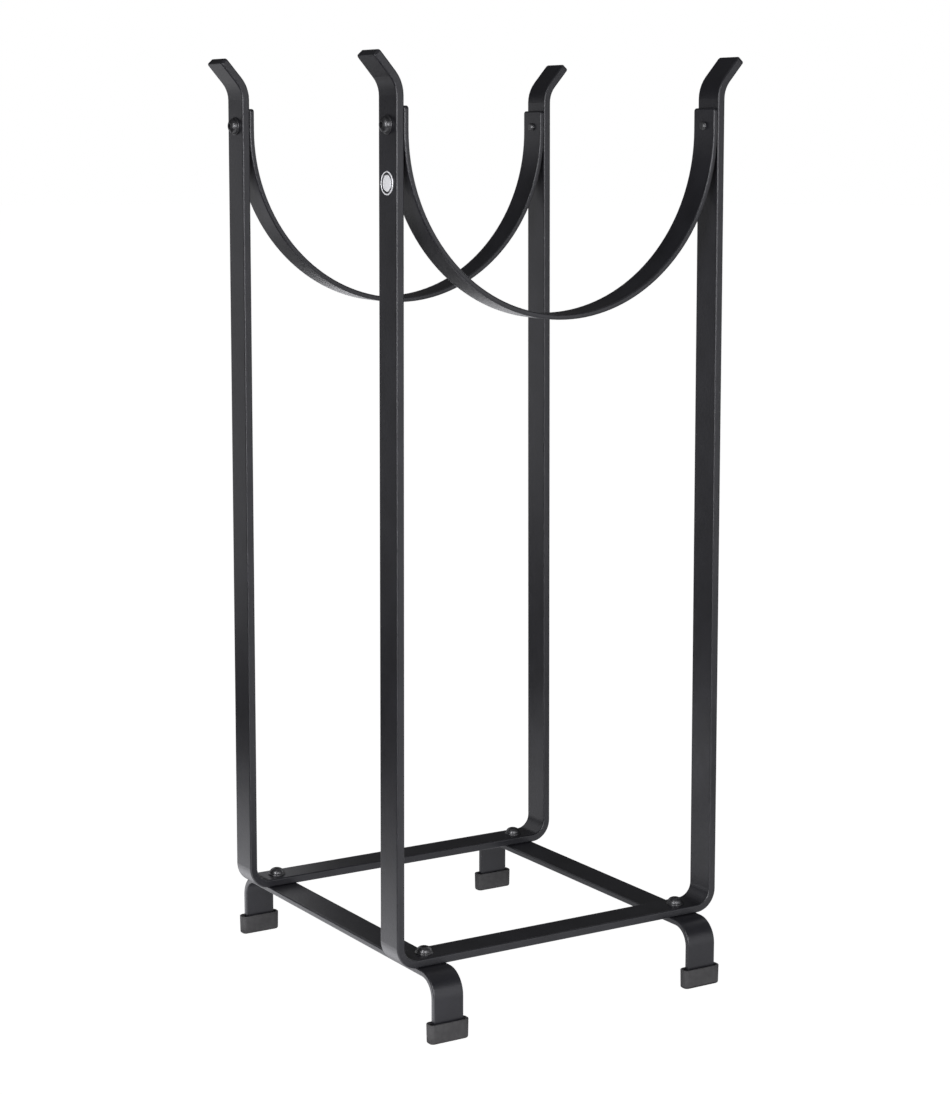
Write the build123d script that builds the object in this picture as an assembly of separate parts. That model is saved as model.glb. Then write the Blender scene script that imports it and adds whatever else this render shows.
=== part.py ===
from build123d import *
import os
from math import cos, isclose, radians, sin, tan

# Firewood log rack: two bent flat-bar frames, two semicircular cradles between their
# uprights, and two foot bars in rubber caps, held together by eight button-head bolts.
# Millimetres. X is the width, Y the depth with the front at -Y, and Z is up. The origin
# is on the floor, in the middle of the rack.

# Flat bar
BAR_WIDTH = 32.0
FRAME_THICKNESS = 8.0
CRADLE_THICKNESS = 5.0
FOOT_THICKNESS = 6.0
ROLLED_EDGE = 1.5  # radius along the edges of the bar
LENGTH_TOLERANCE = 1e-4
BORE_OVERRUN = 0.5  # past each face of the bar, where a bend begins inside the hole

# Frames: a bottom bar, two uprights and two flared tips
RACK_HEIGHT = 900.0  # to the sharp corners of the tips, before their edges are rounded
FRAME_WIDTH = 366.0  # over the uprights, at the underside of the bottom bar
FRAME_SPACING = 299.0  # between the middles of the front and rear frames
FRAME_CORNER_RADIUS = 22.0  # outer face, below each upright
UPRIGHT_LEAN = 0.25  # degrees inwards, where the bolts pull the uprights onto the cradle
FLARE_ANGLE = 41.5  # degrees from the upright
FLARE_LENGTH = 34.0  # outer face, from the sharp corner of the bend to the tip
FLARE_BEND_RADIUS = 24.0
FRAME_TIP_RADIUS = 3.0

# Cradles
CRADLE_BOLT_HEIGHT = 835.0
CRADLE_BEND_HEIGHT = 830.5  # where the half circle ends and the straight tails begin
CRADLE_TAIL = 21.0
CRADLE_TIP_RADIUS = 3.0

# Foot bars and their caps
BOTTOM_BAR_HEIGHT = 64.0  # from the floor to the underside of the bottom bar
FOOT_SPACING = 290.0  # between the middles of the two foot bars
FOOT_LENGTH = 389.0  # over the legs
FOOT_BEND_RADIUS = 23.0
FOOT_TIP_RADIUS = 2.0
CAP_WIDTH = 42.5
CAP_DEPTH = 12.5
CAP_HEIGHT = 19.0
CAP_FLOOR = 3.0
CAP_PLAN_RADIUS = 5.0
CAP_BOTTOM_RADIUS = 2.0
CAP_TOP_RADIUS = 0.8

# M8 x 16 flanged button-head bolts
THREAD_DIAMETER = 8.0
CLEARANCE_DIAMETER = 9.0
BOLT_LENGTH = 16.0
BOLT_POINT = 1.0  # chamfer at the end of the thread
FLANGE_DIAMETER = 17.5
FLANGE_THICKNESS = 1.2
FLANGE_EDGE_RADIUS = 0.4
BUTTON_DIAMETER = 15.0
BUTTON_FOOT = 1.6  # height at which the flange runs into the button
BUTTON_HEIGHT = 6.5
BUTTON_TOP_DIAMETER = 6.6
BUTTON_CROWN = 1.1  # how far the side of the button bulges past its chord
SOCKET_SIDES = 6
SOCKET_WIDTH = 5.0  # across the flats
SOCKET_DEPTH = 3.2

# Badge on the front left upright: a plate with a raised rim and a raised middle
BADGE_BOTTOM_GAP = 784.0  # from the floor to its centre
BADGE_DIAMETER = 21.0
BADGE_PLATE = 0.6
BADGE_RELIEF = 0.3
BADGE_RIM_WIDTH = 1.1
BADGE_MIDDLE_DIAMETER = 14.6
BADGE_EDGE_RADIUS = 0.12

FRONT, REAR = -1, 1
LEFT, RIGHT = -1, 1
ENDS = {"front": FRONT, "rear": REAR}
SIDES = {"left": LEFT, "right": RIGHT}
LEAN = radians(UPRIGHT_LEAN)
TIP_TILT = radians(FLARE_ANGLE - UPRIGHT_LEAN)  # of the flared tips, from the vertical


def upright_face(height, side):
    """Place across the rack and height of a point on an upright's outer face."""
    inset = (height - BOTTOM_BAR_HEIGHT) * tan(LEAN)
    return side * (FRAME_WIDTH / 2 - inset), height


def upright_plane(height, side, end, depth=0.0):
    """Plane facing outwards from an upright, at a depth under its outer face."""
    across, up = upright_face(height, side)
    outwards = Vector(side * cos(LEAN), 0, sin(LEAN))
    point = Vector(across, end * FRAME_SPACING / 2, up)
    return Plane(origin=point - outwards * depth, x_dir=(0, 1, 0), z_dir=outwards)


def frame_plane(end):
    """Upright plane through the middle of a frame, X across the rack."""
    return Plane(origin=(0, end * FRAME_SPACING / 2, 0), x_dir=(1, 0, 0), z_dir=(0, -1, 0))


def foot_plane(side):
    """Upright plane through the middle of a foot bar, X along the bar."""
    return Plane(origin=(side * FOOT_SPACING / 2, 0, 0), x_dir=(0, 1, 0), z_dir=(1, 0, 0))


def crossing_plane(side, end, height):
    """Level plane where a foot bar crosses a frame."""
    return Plane(origin=(side * FOOT_SPACING / 2, end * FRAME_SPACING / 2, height))


def same_length(edge, length):
    return isclose(edge.length, length, abs_tol=LENGTH_TOLERANCE)


def bent_bar(face_path, thickness, tip_radius):
    """Flat bar bent along a path of its outer face, with its width across the path's plane.

    Its four end corners are rounded first. Then every edge is rounded that isn't just the
    line where a bend or a rounded corner starts.
    """
    profile = make_face(offset(face_path, thickness, side=Side.LEFT, closed=True))
    bar = extrude(profile, BAR_WIDTH / 2, both=True)
    end_corners = [edge for edge in bar.edges() if same_length(edge, thickness)]
    bar = fillet(end_corners, tip_radius)
    sharp = [
        edge
        for edge in bar.edges()
        if not same_length(edge, thickness) and not same_length(edge, BAR_WIDTH)
    ]
    return fillet(sharp, ROLLED_EDGE)


def bore(plane, diameter, thickness):
    """Round hole through a bar that lies under a plane."""
    return plane * Pos(0, 0, -thickness / 2) * Cylinder(diameter / 2, thickness + 2 * BORE_OVERRUN)


def frame_path():
    """Outer face of a frame, from the left tip round the bottom to the right tip."""
    tip_rise = FLARE_LENGTH * cos(TIP_TILT) + FRAME_THICKNESS * sin(TIP_TILT)
    corner = upright_face(BOTTOM_BAR_HEIGHT, RIGHT)
    bend = upright_face(RACK_HEIGHT - tip_rise, RIGHT)
    tip = (bend[0] + FLARE_LENGTH * sin(TIP_TILT), bend[1] + FLARE_LENGTH * cos(TIP_TILT))
    right_points = [corner, bend, tip]
    left_points = [(-across, up) for across, up in reversed(right_points)]
    left_radii = [FLARE_BEND_RADIUS, FRAME_CORNER_RADIUS]
    radii = left_radii + left_radii[::-1]
    return FilletPolyline(*left_points, *right_points, radius=radii)


def cradle_path():
    """Outer face of a cradle: a half circle whose tails lie flat against the uprights."""
    start = upright_plane(CRADLE_BEND_HEIGHT, RIGHT, FRONT, FRAME_THICKNESS).origin
    radius = start.X / cos(LEAN)
    centre = (0, start.Z - radius * sin(LEAN))
    arc = CenterArc(centre, radius, 180 - UPRIGHT_LEAN, 180 + 2 * UPRIGHT_LEAN)
    tail_across = CRADLE_TAIL * sin(LEAN)
    tail_up = CRADLE_TAIL * cos(LEAN)
    left_tail = Line(arc @ 0 + Vector(tail_across, tail_up), arc @ 0)
    right_tail = Line(arc @ 1, arc @ 1 + Vector(-tail_across, tail_up))
    return Wire([left_tail.edge(), arc.edge(), right_tail.edge()])


def foot_path():
    """Outer face of a foot bar: an upside-down U on two legs."""
    reach = FOOT_LENGTH / 2
    points = [
        (reach, CAP_FLOOR),
        (reach, BOTTOM_BAR_HEIGHT),
        (-reach, BOTTOM_BAR_HEIGHT),
        (-reach, CAP_FLOOR),
    ]
    return FilletPolyline(*points, radius=FOOT_BEND_RADIUS)


def frame(end):
    bar = frame_plane(end) * bent_bar(frame_path(), FRAME_THICKNESS, FRAME_TIP_RADIUS)
    for side in SIDES.values():
        cradle_seat = upright_plane(CRADLE_BOLT_HEIGHT, side, end)
        base_seat = crossing_plane(side, end, BOTTOM_BAR_HEIGHT + FRAME_THICKNESS)
        bar -= bore(cradle_seat, CLEARANCE_DIAMETER, FRAME_THICKNESS)
        bar -= bore(base_seat, CLEARANCE_DIAMETER, FRAME_THICKNESS)
    return bar


def cradle(end):
    bar = frame_plane(end) * bent_bar(cradle_path(), CRADLE_THICKNESS, CRADLE_TIP_RADIUS)
    for side in SIDES.values():
        outer_face = upright_plane(CRADLE_BOLT_HEIGHT, side, end, FRAME_THICKNESS)
        bar -= bore(outer_face, THREAD_DIAMETER, CRADLE_THICKNESS)
    return bar


def foot_bar(side):
    bar = foot_plane(side) * bent_bar(foot_path(), FOOT_THICKNESS, FOOT_TIP_RADIUS)
    for end in ENDS.values():
        top_face = crossing_plane(side, end, BOTTOM_BAR_HEIGHT)
        bar -= bore(top_face, THREAD_DIAMETER, FOOT_THICKNESS)
    return bar


def foot_cap(side, end):
    """Rubber cap, pushed onto the end of a leg."""
    cap = extrude(RectangleRounded(CAP_WIDTH, CAP_DEPTH, CAP_PLAN_RADIUS), CAP_HEIGHT)
    cap = fillet(cap.faces().sort_by(Axis.Z)[0].edges(), CAP_BOTTOM_RADIUS)
    cap = fillet(cap.faces().sort_by(Axis.Z)[-1].edges(), CAP_TOP_RADIUS)
    leg = extrude(Rectangle(BAR_WIDTH, FOOT_THICKNESS), CAP_HEIGHT)
    cap -= Pos(0, 0, CAP_FLOOR) * leg
    return Pos(side * FOOT_SPACING / 2, end * (FOOT_LENGTH - FOOT_THICKNESS) / 2, 0) * cap


def bolt_head():
    """Flanged button head that stands on the XY plane, with a hexagon socket."""
    button_rim = (BUTTON_DIAMETER / 2, BUTTON_FOOT)
    button_top = (BUTTON_TOP_DIAMETER / 2, BUTTON_HEIGHT)
    straight_sides = Polyline(
        button_top,
        (0, BUTTON_HEIGHT),
        (0, 0),
        (FLANGE_DIAMETER / 2, 0),
        (FLANGE_DIAMETER / 2, FLANGE_THICKNESS),
        button_rim,
    )
    crown = SagittaArc(button_rim, button_top, BUTTON_CROWN)
    head = revolve(Plane.XZ * make_face(straight_sides + crown), Axis.Z)
    circles = head.edges().filter_by(GeomType.CIRCLE)
    head = fillet(circles.group_by(SortBy.RADIUS)[-1], FLANGE_EDGE_RADIUS)
    hexagon = RegularPolygon(SOCKET_WIDTH / 2, SOCKET_SIDES, major_radius=False)
    return head - Pos(0, 0, BUTTON_HEIGHT - SOCKET_DEPTH) * extrude(hexagon, SOCKET_DEPTH)


def bolt(seat):
    """Bolt with its head on a plane and its thread going in against the plane's normal."""
    thread = Pos(0, 0, -BOLT_LENGTH / 2) * Cylinder(THREAD_DIAMETER / 2, BOLT_LENGTH)
    thread = chamfer(thread.edges().group_by(Axis.Z)[0], BOLT_POINT)
    return seat * (bolt_head() + thread)


def badge():
    """Blank round badge."""
    plate = extrude(Circle(BADGE_DIAMETER / 2), BADGE_PLATE)
    rim = Circle(BADGE_DIAMETER / 2) - Circle(BADGE_DIAMETER / 2 - BADGE_RIM_WIDTH)
    raised = rim + Circle(BADGE_MIDDLE_DIAMETER / 2)
    disc = plate + Pos(0, 0, BADGE_PLATE) * extrude(raised, BADGE_RELIEF)
    disc = fillet(disc.edges().group_by(Axis.Z)[-1], BADGE_EDGE_RADIUS)
    return upright_plane(BADGE_BOTTOM_GAP, LEFT, FRONT) * disc


def rack():
    """Every piece of the rack in its place, under its name."""
    pieces = {"badge": badge()}
    for side_name, side in SIDES.items():
        pieces[f"{side_name}_foot_bar"] = foot_bar(side)
    for end_name, end in ENDS.items():
        pieces[f"{end_name}_frame"] = frame(end)
        pieces[f"{end_name}_cradle"] = cradle(end)
        for side_name, side in SIDES.items():
            corner = f"{end_name}_{side_name}"
            cradle_seat = upright_plane(CRADLE_BOLT_HEIGHT, side, end)
            base_seat = crossing_plane(side, end, BOTTOM_BAR_HEIGHT + FRAME_THICKNESS)
            pieces[f"{corner}_cradle_bolt"] = bolt(cradle_seat)
            pieces[f"{corner}_base_bolt"] = bolt(base_seat)
            pieces[f"{corner}_foot_cap"] = foot_cap(side, end)
    return pieces


os.makedirs("parts", exist_ok=True)
for name, piece in rack().items():
    export_step(piece, f"parts/{name}.step")
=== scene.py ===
from math import cos, pi, radians, sin

import bmesh
import bpy
from mathutils import Matrix, Vector


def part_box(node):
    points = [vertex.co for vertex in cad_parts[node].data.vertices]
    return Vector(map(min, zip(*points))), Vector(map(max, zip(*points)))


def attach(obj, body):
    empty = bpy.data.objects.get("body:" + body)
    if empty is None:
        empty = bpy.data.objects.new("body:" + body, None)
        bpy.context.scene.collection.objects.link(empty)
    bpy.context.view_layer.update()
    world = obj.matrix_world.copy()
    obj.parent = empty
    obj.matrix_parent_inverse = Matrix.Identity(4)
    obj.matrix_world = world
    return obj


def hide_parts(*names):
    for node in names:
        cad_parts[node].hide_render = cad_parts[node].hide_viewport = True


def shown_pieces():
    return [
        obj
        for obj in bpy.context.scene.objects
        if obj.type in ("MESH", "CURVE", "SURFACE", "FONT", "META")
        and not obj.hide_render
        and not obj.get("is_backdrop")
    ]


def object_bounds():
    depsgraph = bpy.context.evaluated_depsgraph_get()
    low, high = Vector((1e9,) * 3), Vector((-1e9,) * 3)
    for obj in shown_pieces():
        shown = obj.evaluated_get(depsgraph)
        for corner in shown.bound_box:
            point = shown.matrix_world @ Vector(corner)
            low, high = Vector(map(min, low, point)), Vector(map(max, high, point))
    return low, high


# Firewood log rack. The bent bars keep their CAD shape and get a powder coat. The bolts,
# the foot caps and the badge are replaced by finer meshes of the same size. Metres, with
# the floor at Z = 0, the front at -Y and the badge on the front left upright.

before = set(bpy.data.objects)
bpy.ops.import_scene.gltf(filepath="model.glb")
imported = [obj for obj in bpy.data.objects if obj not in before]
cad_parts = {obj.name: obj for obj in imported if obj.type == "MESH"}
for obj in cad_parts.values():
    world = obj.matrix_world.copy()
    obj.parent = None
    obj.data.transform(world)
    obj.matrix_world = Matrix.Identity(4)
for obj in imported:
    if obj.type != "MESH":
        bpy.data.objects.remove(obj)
CAD_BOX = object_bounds()
CAD_LOW, CAD_HIGH = CAD_BOX
CENTRE = (CAD_LOW + CAD_HIGH) / 2
BODY = "root"
BARS = ("front_frame", "rear_frame", "front_cradle", "rear_cradle", "left_foot_bar", "right_foot_bar")
ENDS = ("front", "rear")
SIDES = {"left": -1, "right": 1}
MM = 0.001
UPRIGHT_LEAN = radians(0.25)
SHARP_ANGLE = radians(32)
QUARTER = pi / 2
MERGE_DISTANCE = 0.0005 * MM

# Range that holds most values of a noise
NOISE_LOW = 0.3
NOISE_HIGH = 0.7

# Camera: where it looks from and where it aims, from the middle of the rack
VIEW_AZIMUTH = radians(-31.8)
VIEW_ELEVATION = radians(9.28)
VIEW_DISTANCE = 2.4785
LENS_MM = 82.05
SENSOR_MM = 36.0
AIM_RIGHT = 0.0037
AIM_DOWN = 0.0275

# M8 button-head bolt with a flange. Z runs along it from its seat, with the head up.
BOLT_SEGMENTS = 72
HEAD_HEIGHT = 6.5 * MM
FLANGE_RADIUS = 8.75 * MM
FLANGE_HEIGHT = 1.2 * MM
FLANGE_EDGE = 0.4 * MM
FLANGE_EDGE_STEPS = 3
FLANGE_CHAMFER = 0.1 * MM
BUTTON_RADIUS = 7.5 * MM
BUTTON_FOOT = 1.6 * MM
BUTTON_TOP_RADIUS = 3.3 * MM
BUTTON_BULGE = 1.1 * MM
CROWN_STEPS = 14
SOCKET_FLAT = 2.5 * MM  # from the axis to a flat
SOCKET_MOUTH = 2.95 * MM
SOCKET_CHAMFER = 0.12 * MM
SOCKET_DEPTH = 3.2 * MM
SOCKET_DRILL = 2.2 * MM  # radius of the drilled cone at the bottom
SOCKET_POINT = 0.7 * MM
THREAD_LENGTH = 16.0 * MM
THREAD_RADIUS = 4.0 * MM
THREAD_ROOT = 3.4 * MM
THREAD_PITCH = 1.25 * MM
THREAD_SEGMENTS = 48
THREAD_START = 0.5 * MM
THREAD_ROWS = (0.0, 0.2, 0.425, 0.575, 0.8)  # places along each turn, in pitches
THREAD_CREST = 0.5  # place of the middle of the crest
THREAD_FLANK = 0.375  # from the middle of the crest to the root, in pitches
THREAD_OVERSHOOT = 1.25  # height where the flanks would meet, as a multiple of the flat crest's
POINT_RADIUS = 3.0 * MM

# Foot cap: rounded box with a pocket that widens towards its mouth
CAP_CORNER_STEPS = 8
CAP_CORNER = 5.0 * MM
CAP_DRAFT = 0.3 * MM
CAP_BOTTOM_EDGE = 2.0 * MM
CAP_EDGE_STEPS = 4
CAP_WALL = 1.8 * MM
CAP_LIP = 0.7 * MM
CAP_LIP_STEPS = 6
CAP_FLOOR = 3.0 * MM
CAP_GRIP = 9.0 * MM  # height up to which the pocket holds the leg
LEG_HALF_WIDTH = 16.0 * MM
LEG_HALF_THICKNESS = 3.0 * MM
POCKET_CORNER = 1.5 * MM

# Badge: raised rim, sunken dark ring and a slightly domed middle
BADGE_SEGMENTS = 96
BADGE_RADIUS = 10.5 * MM
BADGE_HEIGHT = 0.9 * MM
BADGE_CHANNEL = 0.55 * MM
BADGE_RIM = 1.1 * MM
BADGE_MIDDLE = 7.3 * MM
BADGE_EDGE = 0.15 * MM
BADGE_DOME_EDGE = 0.7 * MM
BADGE_RINGS = 8

# Studio. Softboxes face the rack: azimuth and elevation in degrees, distance, width, height,
# brightness. Back panels stand behind it and face the front: place across, along and up,
# width, height, brightness. Floor lights shine up: place across and along, width, depth,
# brightness.
STAGE_RADIUS = 30.0
STAGE_SEGMENTS = 128
FLOOR_DIFFUSE = 0.6
FLOOR_GLOW = 0.975
BACKDROP_GLOW = 1.0
PAPER_MOTTLE = 0.97  # darkest part of the paper, against the palest
PAPER_ROUGHNESS = 0.9
WORLD_STRENGTH = 0.05
WHITE = (1, 1, 1, 1)
LIGHT_COLOUR = (0.96, 0.96, 1.0)
FLOOR_LIGHT_LIFT = 0.001
SOFTBOXES = {
    "key_left": (303, 12, 2.6, 0.7, 2.3, 11.0),
    "front_high": (10, 25, 3.0, 1.6, 1.2, 0.5),
    "front_low": (350, 10, 3.0, 1.2, 1.2, 9.5),
    "front_right": (30, 5, 3.0, 1.2, 1.6, 1.5),
    "right": (92, 6, 3.0, 1.6, 1.4, 1.5),
    "right_high": (110, 30, 3.0, 1.6, 1.6, 1.0),
    "left": (265, 6, 3.0, 1.2, 1.4, 0.9),
}
BACK_PANELS = {
    "panel_left": (-0.6, 1.15, 0.525, 0.4, 0.85, 0.6),
    "panel_middle": (0.0, 1.15, 0.6, 0.8, 0.7, 0.7),
}
FLOOR_LIGHTS = {
    "glow_under": (0.2, 0.1, 0.8, 1.3, 0.7),
    "glow_left": (-0.32, 0.15, 0.24, 1.3, 1.25),
    "glow_near_left": (-0.22, 0.1, 0.1, 0.7, 1.1),
    "glow_front": (-0.1, -0.75, 1.2, 0.6, 1.0),
    "glow_front_right": (1.1, -1.7, 1.4, 1.4, 1.1),
    "glow_behind": (0.8, 1.7, 0.6, 1.2, 1.4),
    "glow_far_behind": (1.45, 2.3, 1.8, 1.8, 0.8),
}
OVERHEAD = (0, 90, 3.0, 3.0, 3.0, 0.3)


# ---------------------------------------------------------------- shader nodes


def new_material(name):
    """Material and its main shader."""
    material = bpy.data.materials.new(name)
    material.use_nodes = True
    return material, material.node_tree.nodes["Principled BSDF"]


def add_node(material, kind, **inputs):
    """Adds a shader node and sets the inputs that are named."""
    node = material.node_tree.nodes.new(kind)
    for name, value in inputs.items():
        node.inputs[name].default_value = value
    return node


def connect(material, output, socket):
    material.node_tree.links.new(output, socket)


def noise(material, scale, detail):
    """Noise in the piece's own coordinates, with scale in waves per metre."""
    place = add_node(material, "ShaderNodeTexCoord")
    texture = add_node(material, "ShaderNodeTexNoise", Scale=scale, Detail=detail)
    connect(material, place.outputs["Object"], texture.inputs["Vector"])
    return texture.outputs[0]


def remap(material, value, low, high):
    """Stretches the middle of a noise to a range of values."""
    node = add_node(material, "ShaderNodeMapRange")
    node.inputs["From Min"].default_value = NOISE_LOW
    node.inputs["From Max"].default_value = NOISE_HIGH
    node.inputs["To Min"].default_value = low
    node.inputs["To Max"].default_value = high
    connect(material, value, node.inputs["Value"])
    return node.outputs["Result"]


def colour_between(material, value, first, second):
    """Colour that goes from first to second as a noise rises."""
    ramp = add_node(material, "ShaderNodeValToRGB")
    start, end = ramp.color_ramp.elements
    start.position = NOISE_LOW
    start.color = (*first, 1)
    end.position = NOISE_HIGH
    end.color = (*second, 1)
    connect(material, value, ramp.inputs["Fac"])
    return ramp.outputs["Color"]


def bump(material, height, depth, strength, below=None):
    """Normal of a rough surface, over that of a coarser one if there is one below."""
    node = add_node(material, "ShaderNodeBump", Strength=strength, Distance=depth)
    connect(material, height, node.inputs["Height"])
    if below:
        connect(material, below, node.inputs["Normal"])
    return node.outputs["Normal"]


# ------------------------------------------------------------------- materials


def powder_coat():
    """Satin black powder coat: orange peel, a finer grain that also varies the gloss, and slow
    changes of tone.
    """
    material, shader = new_material("powder_coat")
    tone = noise(material, 30.0, detail=4.0)
    peel = noise(material, 650.0, detail=1.0)
    grain = noise(material, 2200.0, detail=2.0)
    colour = colour_between(material, tone, (0.008, 0.008, 0.0098), (0.0135, 0.0135, 0.0163))
    connect(material, colour, shader.inputs["Base Color"])
    connect(material, remap(material, grain, 0.29, 0.38), shader.inputs["Roughness"])
    peel_bump = bump(material, peel, 0.12 * MM, 0.75)
    grain_bump = bump(material, grain, 0.04 * MM, 0.5, below=peel_bump)
    connect(material, grain_bump, shader.inputs["Normal"])
    return material


def bolt_steel():
    """Black oxide on steel, with a finer grain than the powder coat."""
    material, shader = new_material("bolt_steel")
    tone = noise(material, 300.0, detail=5.0)
    grain = noise(material, 2600.0, detail=2.0)
    colour = colour_between(material, tone, (0.007, 0.007, 0.008), (0.015, 0.015, 0.016))
    connect(material, colour, shader.inputs["Base Color"])
    connect(material, remap(material, tone, 0.33, 0.39), shader.inputs["Roughness"])
    connect(material, bump(material, grain, 0.01 * MM, 0.3), shader.inputs["Normal"])
    shader.inputs["Specular IOR Level"].default_value = 1.0
    return material


def cap_rubber():
    """Matte charcoal rubber with a fine moulded grain."""
    material, shader = new_material("cap_rubber")
    tone = noise(material, 140.0, detail=4.0)
    grain = noise(material, 1300.0, detail=3.0)
    colour = colour_between(material, tone, (0.034, 0.033, 0.033), (0.048, 0.047, 0.047))
    connect(material, colour, shader.inputs["Base Color"])
    connect(material, remap(material, grain, 0.62, 0.8), shader.inputs["Roughness"])
    connect(material, bump(material, grain, 0.08 * MM, 0.5), shader.inputs["Normal"])
    shader.inputs["Specular IOR Level"].default_value = 0.35
    return material


def badge_silver():
    """Satin aluminium, turned in fine rings round the badge's middle."""
    material, shader = new_material("badge_silver")
    place = add_node(material, "ShaderNodeTexCoord")
    rings = add_node(material, "ShaderNodeTexWave", Scale=900.0, Distortion=0.6, Detail=1.0)
    rings.wave_type = "RINGS"
    rings.rings_direction = "Z"
    connect(material, place.outputs["Object"], rings.inputs["Vector"])
    tone = noise(material, 500.0, detail=4.0)
    colour = colour_between(material, tone, (0.93, 0.93, 0.94), (1.0, 1.0, 1.0))
    connect(material, colour, shader.inputs["Base Color"])
    connect(material, remap(material, tone, 0.32, 0.46), shader.inputs["Roughness"])
    connect(material, bump(material, rings.outputs["Fac"], 0.03 * MM, 0.4), shader.inputs["Normal"])
    shader.inputs["Metallic"].default_value = 0.3
    return material


def badge_enamel():
    """Dark ring of the badge, slightly mottled."""
    material, shader = new_material("badge_enamel")
    tone = noise(material, 900.0, detail=4.0)
    colour = colour_between(material, tone, (0.012, 0.012, 0.013), (0.03, 0.03, 0.032))
    connect(material, colour, shader.inputs["Base Color"])
    connect(material, remap(material, tone, 0.3, 0.45), shader.inputs["Roughness"])
    connect(material, bump(material, tone, 0.03 * MM, 0.3), shader.inputs["Normal"])
    return material


# ---------------------------------------------------------------------- meshes


def ring(bm, radius_at, height, segments):
    """Loop of vertices round Z. radius_at gives the radius at each angle."""
    turns = [2 * pi * i / segments for i in range(segments)]
    return [bm.verts.new((radius_at(a) * cos(a), radius_at(a) * sin(a), height)) for a in turns]


def bridge(bm, lower, upper, material_index=0):
    """Band of quads between two loops of the same length."""
    count = len(lower)
    for i in range(count):
        j = (i + 1) % count
        face = bm.faces.new((lower[i], lower[j], upper[j], upper[i]))
        face.material_index = material_index


def cap_loop(bm, loop, middle_height, material_index=0):
    """Closes a loop with a fan round a middle point."""
    centre = sum((v.co for v in loop), Vector()) / len(loop)
    middle = bm.verts.new((centre.x, centre.y, middle_height))
    for i in range(len(loop)):
        face = bm.faces.new((loop[i], loop[(i + 1) % len(loop)], middle))
        face.material_index = material_index


def finish_piece(name, bm, materials, place, stands_for):
    """Smooth piece with sharp corners kept, put in its place, riding on the rack."""
    bmesh.ops.remove_doubles(bm, verts=bm.verts, dist=MERGE_DISTANCE)
    bmesh.ops.dissolve_degenerate(bm, edges=bm.edges, dist=MERGE_DISTANCE)
    bmesh.ops.recalc_face_normals(bm, faces=bm.faces)
    for face in bm.faces:
        face.smooth = True
    for edge in bm.edges:
        edge.smooth = edge.calc_face_angle(0) < SHARP_ANGLE
    mesh = bpy.data.meshes.new(name)
    bm.to_mesh(mesh)
    bm.free()
    for material in materials:
        mesh.materials.append(material)
    piece = bpy.data.objects.new(name, mesh)
    bpy.context.scene.collection.objects.link(piece)
    piece.matrix_world = place
    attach(piece, BODY)
    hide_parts(stands_for)


def round_radius(radius):
    return lambda angle: radius


def hexagon_radius(flat):
    """Radius of a hexagon whose corners are at whole sixths of a turn."""
    sixth = pi / 3
    return lambda angle: flat / cos((angle % sixth) - sixth / 2)


def head_profile():
    """Radius and height of the head's turned surface, from under the flange to the socket."""
    edge_top = FLANGE_HEIGHT - FLANGE_EDGE
    points = [(FLANGE_RADIUS - FLANGE_CHAMFER, 0.0), (FLANGE_RADIUS, FLANGE_CHAMFER)]
    for step in range(FLANGE_EDGE_STEPS + 1):
        angle = QUARTER * step / FLANGE_EDGE_STEPS
        reach = FLANGE_RADIUS - FLANGE_EDGE + FLANGE_EDGE * cos(angle)
        points.append((reach, edge_top + FLANGE_EDGE * sin(angle)))
    points.append((BUTTON_RADIUS + FLANGE_EDGE, FLANGE_HEIGHT + FLANGE_CHAMFER))
    chord = Vector((BUTTON_TOP_RADIUS - BUTTON_RADIUS, HEAD_HEIGHT - BUTTON_FOOT))
    outwards = Vector((chord.y, -chord.x)).normalized()
    for step in range(CROWN_STEPS + 1):
        part = step / CROWN_STEPS
        rise = 4 * BUTTON_BULGE * part * (1 - part)
        point = Vector((BUTTON_RADIUS, BUTTON_FOOT)) + chord * part + outwards * rise
        points.append((point.x, min(point.y, HEAD_HEIGHT)))
    points.append((SOCKET_MOUTH, HEAD_HEIGHT))
    return points


def add_head(bm):
    """Flange, button and hexagon socket, closed underneath inside the thread's root."""
    neck = ring(bm, round_radius(THREAD_ROOT), 0.0, BOLT_SEGMENTS)
    below = neck
    for radius, height in head_profile():
        loop = ring(bm, round_radius(radius), height, BOLT_SEGMENTS)
        bridge(bm, below, loop)
        below = loop
    floor = HEAD_HEIGHT - SOCKET_DEPTH
    for height in (HEAD_HEIGHT - SOCKET_CHAMFER, floor):
        loop = ring(bm, hexagon_radius(SOCKET_FLAT), height, BOLT_SEGMENTS)
        bridge(bm, below, loop)
        below = loop
    drilled = ring(bm, round_radius(SOCKET_DRILL), floor, BOLT_SEGMENTS)
    bridge(bm, below, drilled)
    cap_loop(bm, drilled, floor - SOCKET_POINT)
    cap_loop(bm, neck, 0.0)


def thread_radius(height, phase):
    """Radius of the thread at a part of its pitch, less where it runs out at either end."""
    crest = max(0.0, 1 - abs(phase - THREAD_CREST) / THREAD_FLANK)
    full = THREAD_ROOT + (THREAD_RADIUS - THREAD_ROOT) * min(1.0, crest * THREAD_OVERSHOOT)
    from_start = THREAD_ROOT + max(0.0, -height - THREAD_START)
    to_end = POINT_RADIUS + (height + THREAD_LENGTH)
    return min(full, from_start, to_end)


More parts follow.
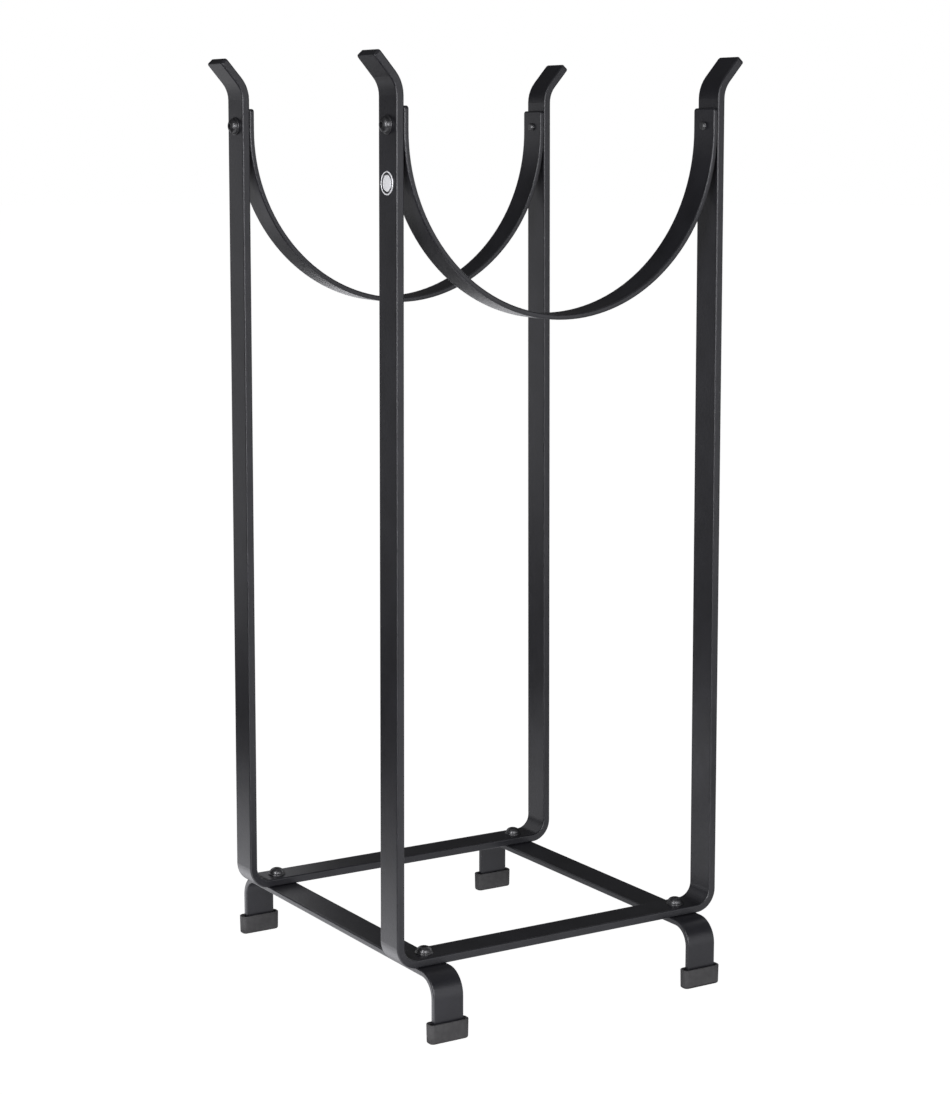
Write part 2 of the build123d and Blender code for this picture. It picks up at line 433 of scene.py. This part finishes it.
def add_thread(bm):
    """Single helical thread from the seat down to the point, closed at both ends."""
    turns = int(THREAD_LENGTH / THREAD_PITCH) + 2  # the first and last are cut off level
    rows = []
    for turn in range(turns):
        for step in THREAD_ROWS:
            row = []
            for i in range(THREAD_SEGMENTS):
                angle = 2 * pi * i / THREAD_SEGMENTS
                height = -(turn + step - 1 + i / THREAD_SEGMENTS) * THREAD_PITCH
                height = max(-THREAD_LENGTH, min(0.0, height))
                radius = thread_radius(height, step)
                row.append(bm.verts.new((radius * cos(angle), radius * sin(angle), height)))
            rows.append(row)
    for index in range(len(rows) - 1):
        below = rows[index + 1]
        for i in range(THREAD_SEGMENTS - 1):
            bm.faces.new((rows[index][i], rows[index][i + 1], below[i + 1], below[i]))
    per_turn = len(THREAD_ROWS)
    last = THREAD_SEGMENTS - 1
    for index in range(len(rows) - per_turn - 1):
        ahead = index + per_turn
        bm.faces.new((rows[index][last], rows[ahead][0], rows[ahead + 1][0], rows[index + 1][last]))
    cap_loop(bm, rows[0], 0.0)
    cap_loop(bm, rows[-1], -THREAD_LENGTH)


def make_bolt(name, material):
    """Bolt in place of a CAD one. A cradle bolt's head faces outwards and a base bolt's faces up."""
    low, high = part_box(name)
    middle = (low + high) / 2
    side = SIDES[name.split("_")[1]]
    if name.endswith("base_bolt"):
        seat = Vector((middle.x, middle.y, high.z - HEAD_HEIGHT))
        axis = Vector((0, 0, 1))
    else:
        outer = high.x if side > 0 else low.x
        seat = Vector((outer - side * HEAD_HEIGHT, middle.y, middle.z))
        axis = Vector((side * cos(UPRIGHT_LEAN), 0, sin(UPRIGHT_LEAN)))
    place = Matrix.Translation(seat) @ axis.to_track_quat("Z", "Y").to_matrix().to_4x4()
    bm = bmesh.new()
    add_head(bm)
    add_thread(bm)
    finish_piece(f"{name}_threaded", bm, [material], place, name)


def rounded_rectangle(bm, half_width, half_depth, radius, height):
    """Loop of vertices round a rectangle with rounded corners."""
    loop = []
    for quarter in range(4):
        across = half_width - radius if quarter in (0, 3) else radius - half_width
        along = half_depth - radius if quarter in (0, 1) else radius - half_depth
        for step in range(CAP_CORNER_STEPS + 1):
            angle = (quarter + step / CAP_CORNER_STEPS) * QUARTER
            point = (across + radius * cos(angle), along + radius * sin(angle), height)
            loop.append(bm.verts.new(point))
    return loop


def make_cap(name, material):
    """Rubber cap in place of a CAD one, with drafted walls and a flared mouth round the leg."""
    low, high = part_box(name)
    half = (high - low) / 2
    top = high.z - low.z
    outline = [(CAP_BOTTOM_EDGE + CAP_DRAFT, 0.0)]
    for step in range(1, CAP_EDGE_STEPS + 1):
        angle = QUARTER * step / CAP_EDGE_STEPS
        inset = CAP_DRAFT + CAP_BOTTOM_EDGE * (1 - sin(angle))
        outline.append((inset, CAP_BOTTOM_EDGE * (1 - cos(angle))))
    outline.append((0.0, top - CAP_LIP))
    for step in range(1, CAP_LIP_STEPS + 1):
        angle = pi * step / CAP_LIP_STEPS
        reach = CAP_WALL / 2
        outline.append((reach * (1 - cos(angle)), top - CAP_LIP + CAP_LIP * sin(angle)))
    bm = bmesh.new()
    below = None
    for inset, height in outline:
        corner = CAP_CORNER - inset
        loop = rounded_rectangle(bm, half.x - inset, half.y - inset, corner, height)
        if below:
            bridge(bm, below, loop)
        else:
            cap_loop(bm, loop, 0.0)
        below = loop
    for height in (CAP_GRIP, CAP_FLOOR):
        loop = rounded_rectangle(bm, LEG_HALF_WIDTH, LEG_HALF_THICKNESS, POCKET_CORNER, height)
        bridge(bm, below, loop)
        below = loop
    cap_loop(bm, below, CAP_FLOOR)
    place = Matrix.Translation((low.x + half.x, low.y + half.y, low.z))
    finish_piece(f"{name}_moulded", bm, [material], place, name)


def make_badge(silver, enamel):
    """Blank round badge in place of the CAD one."""
    low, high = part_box("badge")
    middle = (low + high) / 2
    rim_inside = BADGE_RADIUS - BADGE_RIM
    profile = [
        (BADGE_RADIUS - BADGE_EDGE, 0.0, 0),
        (BADGE_RADIUS, BADGE_EDGE, 0),
        (BADGE_RADIUS, BADGE_HEIGHT - BADGE_EDGE, 0),
        (BADGE_RADIUS - BADGE_EDGE, BADGE_HEIGHT, 0),
        (rim_inside + BADGE_EDGE, BADGE_HEIGHT, 0),
        (rim_inside, BADGE_HEIGHT - BADGE_EDGE, 0),
        (rim_inside, BADGE_CHANNEL, 0),
        (BADGE_MIDDLE, BADGE_CHANNEL, 1),
        (BADGE_MIDDLE - BADGE_EDGE, BADGE_DOME_EDGE, 0),
    ]
    for step in range(1, BADGE_RINGS):
        part = 1 - step / BADGE_RINGS
        dome = BADGE_DOME_EDGE + (BADGE_HEIGHT - BADGE_DOME_EDGE) * (1 - part * part)
        profile.append((BADGE_MIDDLE * part, dome, 0))
    bm = bmesh.new()
    below = None
    for radius, height, material_index in profile:
        loop = ring(bm, round_radius(radius), height, BADGE_SEGMENTS)
        if below:
            bridge(bm, below, loop, material_index)
        else:
            cap_loop(bm, loop, 0.0)
        below = loop
    cap_loop(bm, below, BADGE_HEIGHT)
    outwards = Vector((-cos(UPRIGHT_LEAN), 0, sin(UPRIGHT_LEAN)))
    seat = Vector((low.x + BADGE_HEIGHT, middle.y, middle.z))
    place = Matrix.Translation(seat) @ outwards.to_track_quat("Z", "Y").to_matrix().to_4x4()
    finish_piece("badge_turned", bm, [silver, enamel], place, "badge")


# ------------------------------------------------------------- camera and stage


def direction(azimuth, elevation):
    """Unit vector from the rack towards a place round it. Azimuth 0 is the front."""
    return Vector((
        sin(azimuth) * cos(elevation),
        -cos(azimuth) * cos(elevation),
        sin(elevation),
    ))


def aim_at(obj, target):
    """Turns a camera or a light towards a place."""
    obj.rotation_mode = "QUATERNION"
    obj.rotation_quaternion = (target - obj.location).to_track_quat("-Z", "Y")


def make_camera():
    """Camera in front of the rack and to its left, aimed a little off its middle."""
    aim = CENTRE + Vector((AIM_RIGHT, 0, -AIM_DOWN))
    data = bpy.data.cameras.new("camera")
    data.lens = LENS_MM
    data.sensor_width = SENSOR_MM
    camera = bpy.data.objects.new("camera", data)
    bpy.context.scene.collection.objects.link(camera)
    camera.location = aim + direction(VIEW_AZIMUTH, VIEW_ELEVATION) * VIEW_DISTANCE
    aim_at(camera, aim)
    bpy.context.scene.camera = camera


def stage_material(name, diffuse, glow):
    """Pale matte surface that glows like overexposed studio paper."""
    material, shader = new_material(name)
    grain = noise(material, 60.0, detail=3.0)
    low = (diffuse * PAPER_MOTTLE,) * 3
    colour = colour_between(material, grain, low, (diffuse,) * 3)
    connect(material, colour, shader.inputs["Base Color"])
    shader.inputs["Roughness"].default_value = PAPER_ROUGHNESS
    shader.inputs["Specular IOR Level"].default_value = 0.0
    shader.inputs["Emission Color"].default_value = WHITE
    shader.inputs["Emission Strength"].default_value = glow
    return material


def stage_object(name, bm, material):
    """Piece of the studio, left out of the rack itself."""
    mesh = bpy.data.meshes.new(name)
    bm.to_mesh(mesh)
    bm.free()
    mesh.materials.append(material)
    obj = bpy.data.objects.new(name, mesh)
    bpy.context.scene.collection.objects.link(obj)
    obj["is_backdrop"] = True
    return obj


def make_floor():
    """Floor under the rack, which reflects the floor lights instead of it."""
    bm = bmesh.new()
    rim = ring(bm, round_radius(STAGE_RADIUS), CAD_LOW.z, STAGE_SEGMENTS)
    cap_loop(bm, rim, CAD_LOW.z)
    floor = stage_object("floor", bm, stage_material("floor_paper", FLOOR_DIFFUSE, FLOOR_GLOW))
    floor.visible_diffuse = False
    floor.visible_glossy = False


def make_backdrop():
    """Round wall that only the camera sees, as pale as the far end of the floor."""
    bm = bmesh.new()
    below = ring(bm, round_radius(STAGE_RADIUS), CAD_LOW.z, STAGE_SEGMENTS)
    above = ring(bm, round_radius(STAGE_RADIUS), STAGE_RADIUS, STAGE_SEGMENTS)
    bridge(bm, below, above)
    cap_loop(bm, above, STAGE_RADIUS)
    wall = stage_object("backdrop", bm, stage_material("backdrop_paper", 0.0, BACKDROP_GLOW))
    wall.visible_diffuse = False
    wall.visible_glossy = False
    wall.visible_shadow = False


def area_light(name, place, target, width, height, radiance, lights_only=None):
    """Area light of a given brightness, unseen by the camera, for everything or one collection."""
    data = bpy.data.lights.new(name, "AREA")
    data.shape = "RECTANGLE"
    data.size = width
    data.size_y = height
    data.energy = radiance * pi * width * height
    data.color = LIGHT_COLOUR
    light = bpy.data.objects.new(name, data)
    bpy.context.scene.collection.objects.link(light)
    light.location = place
    aim_at(light, target)
    light.visible_camera = False
    light.light_linking.receiver_collection = lights_only


def softbox(name, azimuth, elevation, distance, width, height, radiance, lights_only=None):
    """Area light that faces the middle of the rack."""
    place = CENTRE + direction(radians(azimuth), radians(elevation)) * distance
    area_light(name, place, CENTRE, width, height, radiance, lights_only)


def make_lights():
    """The overhead light falls on everything, the others on the rack alone."""
    rack = bpy.data.collections.new("rack")
    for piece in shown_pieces():
        rack.objects.link(piece)
    for name, values in SOFTBOXES.items():
        softbox(name, *values, lights_only=rack)
    for name, (across, along, up, width, height, radiance) in BACK_PANELS.items():
        place = Vector((across, along, up))
        area_light(name, place, place - Vector((0, 1, 0)), width, height, radiance, rack)
    for layer, (name, values) in enumerate(FLOOR_LIGHTS.items(), start=1):
        across, along, width, depth, radiance = values
        place = Vector((across, along, CAD_LOW.z + layer * FLOOR_LIGHT_LIFT))
        area_light(name, place, place + Vector((0, 0, 1)), width, depth, radiance, rack)
    softbox("overhead", *OVERHEAD)
    world = bpy.data.worlds.new("world")
    world.use_nodes = True
    background = world.node_tree.nodes["Background"]
    background.inputs["Strength"].default_value = WORLD_STRENGTH
    background.inputs["Color"].default_value = WHITE
    bpy.context.scene.world = world
    bpy.context.scene.view_settings.view_transform = "Standard"


# ------------------------------------------------------------------ put together

coat = powder_coat()
steel = bolt_steel()
rubber = cap_rubber()
for bar in BARS:
    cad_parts[bar].material_slots[0].material = coat
for end in ENDS:
    for side in SIDES:
        make_bolt(f"{end}_{side}_cradle_bolt", steel)
        make_bolt(f"{end}_{side}_base_bolt", steel)
        make_cap(f"{end}_{side}_foot_cap", rubber)
make_badge(badge_silver(), badge_enamel())
make_camera()
make_floor()
make_backdrop()
make_lights()
